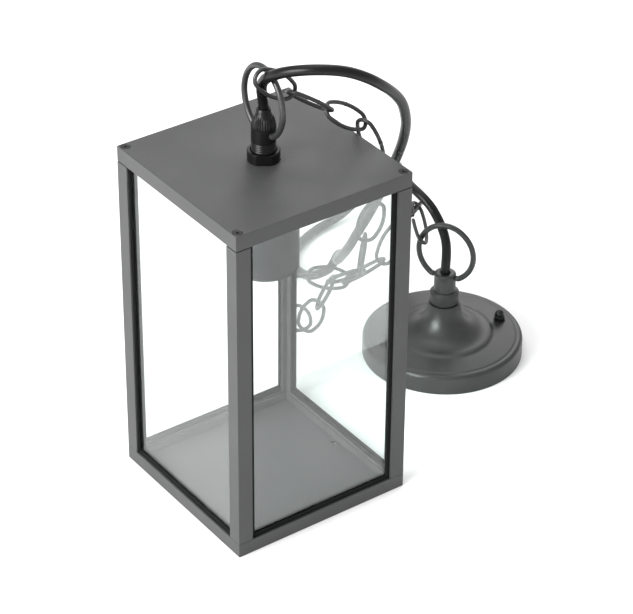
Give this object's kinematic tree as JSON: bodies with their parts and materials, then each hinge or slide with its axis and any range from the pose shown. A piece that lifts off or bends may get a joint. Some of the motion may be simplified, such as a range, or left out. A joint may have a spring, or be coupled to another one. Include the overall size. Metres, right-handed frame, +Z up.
{
  "type": "hanging lantern",
  "caption": "Square glazed hanging lantern with lift-off roof, lampholder, cable gland, wire bail, oval-link chain, round cord and a domed ceiling rose with a loop.",
  "frame": {"origin": "middle of the underside of the case, on the surface it stands on", "axes": "+Z up; X and Y square to the sides of the case; the ceiling rose lies towards +X"},
  "size_m": [0.4005, 0.3581, 0.394],
  "materials": {
    "case_paint": "fine-textured graphite powder coat",
    "cup_paint": "satin grey paint",
    "glass": "clear float glass",
    "gasket_rubber": "matt black glazing rubber",
    "black_steel": "black-coated steel, semi-gloss",
    "gland_plastic": "moulded black plastic",
    "cord_sheath": "smooth black sheath",
    "chain_paint": "graphite paint on steel wire",
    "rose_paint": "satin graphite paint",
    "brass": "plain turned brass",
    "ceramic": "glazed off-white",
    "zinc_steel": "zinc-plated steel",
    "nylon": "natural nylon",
    "core_insulation": "brown, blue and green-yellow insulation"
  },
  "bodies": {
    "cage": {"base_frame": "case_paint", "base_pan": "case_paint", "post_front": "case_paint", "post_right": "case_paint", "post_back": "case_paint", "post_left": "case_paint", "top_frame": "case_paint", "pane_left_front": "glass", "pane_right_front": "glass", "pane_left_back": "glass", "pane_right_back": "glass", "glazing_gaskets": "gasket_rubber", "base_screws": "black_steel"},
    "roof": {"roof_tray": "case_paint", "roof_screws": "black_steel", "gland_collar": "gland_plastic", "gland_body": "gland_plastic", "gland_cap": "gland_plastic", "gland_seal": "gasket_rubber", "gland_locknut": "gland_plastic", "holder_cup": "cup_paint", "holder_bridge": "zinc_steel", "holder_screws": "zinc_steel", "lamp_socket": "ceramic", "thread_shell": "brass", "centre_contact": "brass", "socket_terminals": "brass", "flex_cores": "core_insulation", "cord_tail": "cord_sheath", "supply_cord": "cord_sheath"},
    "lantern_bail": {"lantern_bail": "chain_paint"},
    "link_01": {"link_01": "chain_paint"},
    "link_02": {"link_02": "chain_paint"},
    "link_03": {"link_03": "chain_paint"},
    "link_04": {"link_04": "chain_paint"},
    "link_05": {"link_05": "chain_paint"},
    "link_06": {"link_06": "chain_paint"},
    "link_07": {"link_07": "chain_paint"},
    "link_08": {"link_08": "chain_paint"},
    "link_09": {"link_09": "chain_paint"},
    "link_10": {"link_10": "chain_paint"},
    "link_11": {"link_11": "chain_paint"},
    "link_12": {"link_12": "chain_paint"},
    "link_13": {"link_13": "chain_paint"},
    "link_14": {"link_14": "chain_paint"},
    "link_15": {"link_15": "chain_paint"},
    "link_16": {"link_16": "chain_paint"},
    "link_17": {"link_17": "chain_paint"},
    "hook_link": {"hook_link": "chain_paint"},
    "rose": {"rose_canopy": "rose_paint", "rose_collar": "rose_paint", "rose_neck": "rose_paint", "rose_locknut": "zinc_steel", "rose_bracket": "zinc_steel", "rose_studs": "zinc_steel", "acorn_nuts": "black_steel", "terminal_block": "nylon", "cord_end": "cord_sheath", "rose_cores": "core_insulation"},
    "rose_loop": {"rose_loop": "chain_paint"}
  },
  "joints": [
    {"name": "roof_lift", "type": "slide", "parent": "cage", "child": "roof", "axis": [0, 0, 1], "range_m": [0, 0.1]},
    {"name": "bail_tilt", "type": "hinge", "parent": "roof", "child": "lantern_bail", "pos_m": [0, 0, 0.3182], "axis": [0, 1, 0], "range_deg": [0, 1.5]},
    {"name": "link_01_turn", "type": "hinge", "parent": "roof", "child": "link_01", "pos_m": [0.0025, -0.0115, 0.362], "axis": [0.7905, 0.0255, -0.612], "range_deg": [-4, 3]},
    {"name": "link_02_turn", "type": "hinge", "parent": "roof", "child": "link_02", "pos_m": [0.034, -0.012, 0.338], "axis": [0.799, -0.0499, -0.5993], "range_deg": [-6, 6]},
    {"name": "link_03_turn", "type": "hinge", "parent": "roof", "child": "link_03", "pos_m": [0.0665, -0.0135, 0.3155], "axis": [0.8434, -0.0256, -0.5367], "range_deg": [-6, 6]},
    {"name": "link_04_turn", "type": "hinge", "parent": "roof", "child": "link_04", "pos_m": [0.0895, -0.0145, 0.2865], "axis": [0.3314, -0.0255, -0.9432], "range_deg": [-6, 6]},
    {"name": "link_05_turn", "type": "hinge", "parent": "roof", "child": "link_05", "pos_m": [0.096, -0.0155, 0.2485], "axis": [0, -0.0256, -0.9997], "range_deg": [-6, 6]},
    {"name": "link_06_turn", "type": "hinge", "parent": "roof", "child": "link_06", "pos_m": [0.0955, -0.01, 0.2105], "axis": [-0.0257, 0.3084, -0.9509], "range_deg": [-6, 6]},
    {"name": "link_07_turn", "type": "hinge", "parent": "roof", "child": "link_07", "pos_m": [0.0965, 0.0015, 0.1735], "axis": [0.0775, 0.2841, -0.9557], "range_deg": [-6, 6]},
    {"name": "link_08_turn", "type": "hinge", "parent": "roof", "child": "link_08", "pos_m": [0.096, 0.022, 0.1425], "axis": [-0.1019, 0.7642, -0.6369], "range_deg": [-6, 6]},
    {"name": "link_09_turn", "type": "hinge", "parent": "roof", "child": "link_09", "pos_m": [0.0945, 0.0475, 0.1135], "axis": [0.0256, 0.5367, -0.8434], "range_deg": [-6, 6]},
    {"name": "link_10_turn", "type": "hinge", "parent": "roof", "child": "link_10", "pos_m": [0.0945, 0.067, 0.08], "axis": [-0.026, 0.4677, -0.8835], "range_deg": [-6, 6]},
    {"name": "link_11_turn", "type": "hinge", "parent": "roof", "child": "link_11", "pos_m": [0.101, 0.094, 0.0605], "axis": [0.3594, 0.9243, -0.1284], "range_deg": [-6, 6]},
    {"name": "link_12_turn", "type": "hinge", "parent": "roof", "child": "link_12", "pos_m": [0.116, 0.129, 0.062], "axis": [0.4165, 0.885, 0.2082], "range_deg": [-6, 6]},
    {"name": "link_13_turn", "type": "hinge", "parent": "roof", "child": "link_13", "pos_m": [0.141, 0.1505, 0.058], "axis": [0.8799, 0.2329, -0.4141], "range_deg": [-6, 6]},
    {"name": "link_14_turn", "type": "hinge", "parent": "roof", "child": "link_14", "pos_m": [0.1745, 0.152, 0.0425], "axis": [0.8981, -0.1633, -0.4082], "range_deg": [-6, 6]},
    {"name": "link_15_turn", "type": "hinge", "parent": "roof", "child": "link_15", "pos_m": [0.203, 0.139, 0.046], "axis": [0.6281, -0.5234, 0.5758], "range_deg": [-6, 6]},
    {"name": "link_16_turn", "type": "hinge", "parent": "roof", "child": "link_16", "pos_m": [0.2255, 0.1275, 0.0735], "axis": [0.5353, -0.0765, 0.8412], "range_deg": [-6, 6]},
    {"name": "link_17_turn", "type": "hinge", "parent": "roof", "child": "link_17", "pos_m": [0.2335, 0.1145, 0.1045], "axis": [-0.1339, -0.6158, 0.7764], "range_deg": [-6, 6]},
    {"name": "hook_link_turn", "type": "hinge", "parent": "roof", "child": "hook_link", "pos_m": [0.222, 0.0875, 0.1135], "axis": [-0.48, -0.8267, -0.2934], "range_deg": [-6, 6]},
    {"name": "rose_turn", "type": "hinge", "parent": "roof", "child": "rose", "pos_m": [0.226, 0.055, 0], "axis": [0, 0, 1], "range_deg": [-4, 2]},
    {"name": "rose_loop_tilt", "type": "hinge", "parent": "rose", "child": "rose_loop", "pos_m": [0.226, 0.055, 0.0754], "axis": [0.515, -0.8572, 0], "range_deg": [0, 1]}
  ]
}
